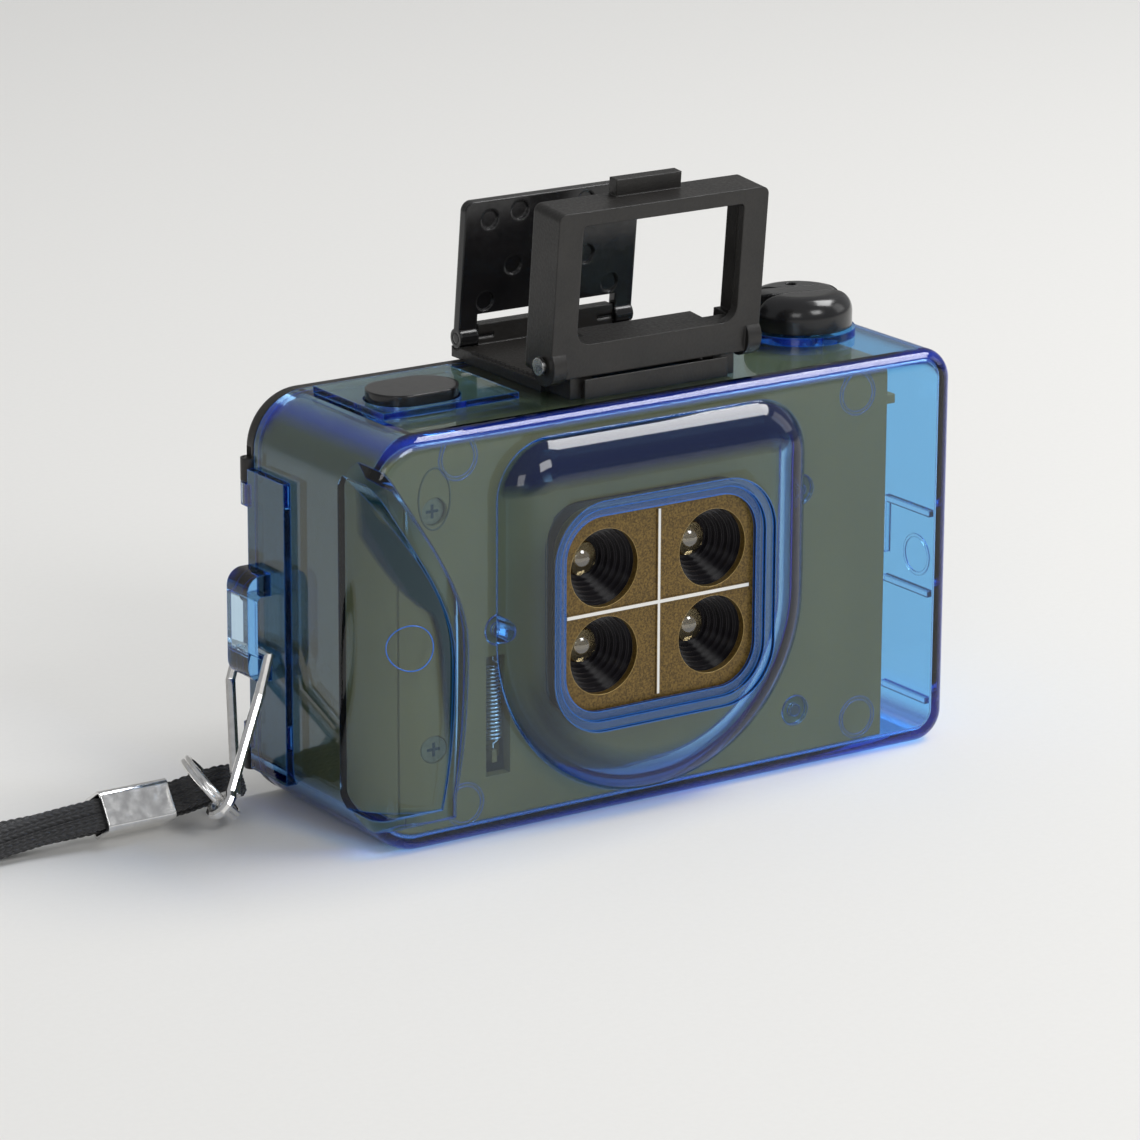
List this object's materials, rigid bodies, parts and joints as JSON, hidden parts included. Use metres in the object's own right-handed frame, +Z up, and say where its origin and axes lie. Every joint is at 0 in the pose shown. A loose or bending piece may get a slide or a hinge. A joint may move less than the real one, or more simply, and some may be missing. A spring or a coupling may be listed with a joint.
{
  "type": "toy film camera",
  "caption": "Compact toy film camera with a see-through moulded shell, a stepped multi-lens block, a folding hood finder, a rewind crank and a braided wrist strap.",
  "frame": {"origin": "middle of the flat base the camera stands on", "axes": "+X along the front to the rewind end, -Y out of the lenses, +Z up"},
  "size_m": [0.2215, 0.0524, 0.0948],
  "materials": {
    "shell": "clear polished moulding, deep blue",
    "black_satin": "fine moulded texture",
    "black_gloss": "polished moulding",
    "inner_black": "matt",
    "frame_plastic": "matt",
    "bronze": "satin bronze brown",
    "white": "flat",
    "lens": "polished",
    "steel": "plain",
    "nickel": "polished nickel",
    "braid": "braided"
  },
  "bodies": {
    "camera": {"front_shell": "shell", "finder_base": "black_satin", "lens_block": "inner_black", "mechanism_plate": "frame_plastic", "film_box": "frame_plastic", "lens_plate": "bronze", "cross_strips": "white", "lenses": "lens", "shell_screws": "steel", "frame_screws": "steel", "door_hinge_pins": "steel", "hood_pin": "steel", "eye_plate_pin": "steel", "return_spring": "steel", "button_spring": "steel", "strap_hook": "nickel", "split_ring": "nickel", "strap_ferrule": "nickel", "wrist_strap": "braid"},
    "shutter": {"shutter_disc": "steel"},
    "button": {"shutter_button": "black_gloss"},
    "release": {"release_slide": "frame_plastic"},
    "advance": {"advance_wheel": "black_satin", "takeup_spool": "inner_black"},
    "sprocket": {"film_sprocket": "inner_black"},
    "counter": {"frame_counter": "white"},
    "door": {"back_door": "black_satin", "pressure_plate": "inner_black", "pressure_spring": "steel"},
    "latch": {"door_latch": "black_satin"},
    "hood": {"finder_hood": "black_satin"},
    "eye_plate": {"finder_eye_plate": "black_gloss"},
    "rewind_lift": {"rewind_washer": "steel"},
    "rewind": {"rewind_knob": "black_gloss", "rewind_shaft": "steel", "crank_pin": "steel"},
    "crank": {"crank_arm": "black_gloss"},
    "grip": {"crank_grip": "black_gloss"}
  },
  "joints": [
    {"name": "shutter_press", "type": "slide", "parent": "camera", "child": "button", "axis": [0, 0, -1], "range_m": [0, 0.0016], "stiffness_N_per_m": 500, "springref_m": -0.001, "deforming": ["button_spring"]},
    {"name": "release_travel", "type": "slide", "parent": "camera", "child": "release", "axis": [0, 0, -1], "range_m": [0, 0.0016], "deforming": ["return_spring"]},
    {"name": "shutter_spin", "type": "hinge", "parent": "camera", "child": "shutter", "pos_m": [-0.0038, -0.0112, 0.0322], "axis": [0, 1, 0], "continuous": true},
    {"name": "advance_spin", "type": "hinge", "parent": "camera", "child": "advance", "pos_m": [-0.037, 0.0091, 0.056], "axis": [0, 0, 1], "continuous": true},
    {"name": "sprocket_spin", "type": "hinge", "parent": "camera", "child": "sprocket", "pos_m": [-0.0285, 0.0091, 0.032], "axis": [0, 0, 1], "continuous": true},
    {"name": "counter_spin", "type": "hinge", "parent": "camera", "child": "counter", "pos_m": [-0.0186, 0.0047, 0.057], "axis": [0, 0, 1], "continuous": true},
    {"name": "door_open", "type": "hinge", "parent": "camera", "child": "door", "pos_m": [-0.05235, 0.01665, 0.0315], "axis": [0, 0, 1], "range_deg": [0, 110]},
    {"name": "latch_slide", "type": "slide", "parent": "door", "child": "latch", "axis": [0, 0, 1], "range_m": [0, 0.003]},
    {"name": "hood_fold", "type": "hinge", "parent": "camera", "child": "hood", "pos_m": [0, -0.011, 0.0684], "axis": [-1, 0, 0], "range_deg": [0, 85]},
    {"name": "eye_plate_fold", "type": "hinge", "parent": "camera", "child": "eye_plate", "pos_m": [0, 0.017, 0.0663], "axis": [1, 0, 0], "range_deg": [0, 84]},
    {"name": "rewind_pull", "type": "slide", "parent": "camera", "child": "rewind_lift", "axis": [0, 0, 1], "range_m": [0, 0.005]},
    {"name": "rewind_spin", "type": "hinge", "parent": "rewind_lift", "child": "rewind", "pos_m": [0.0375, 0.0022, 0.065], "axis": [0, 0, 1], "continuous": true},
    {"name": "crank_fold", "type": "hinge", "parent": "rewind", "child": "crank", "pos_m": [0.04271, 0.0008, 0.06853], "axis": [0.2588, 0.9659, 0], "range_deg": [0, 120]},
    {"name": "grip_spin", "type": "hinge", "parent": "crank", "child": "grip", "pos_m": [0.03269, 0.00349, 0.066], "axis": [0, 0, 1], "continuous": true}
  ],
  "couplings": [
    {"joint": "release_travel", "follows": "shutter_press", "ratio": 1},
    {"joint": "sprocket_spin", "follows": "advance_spin", "ratio": 1.63},
    {"joint": "counter_spin", "follows": "advance_spin", "ratio": -0.25}
  ]
}
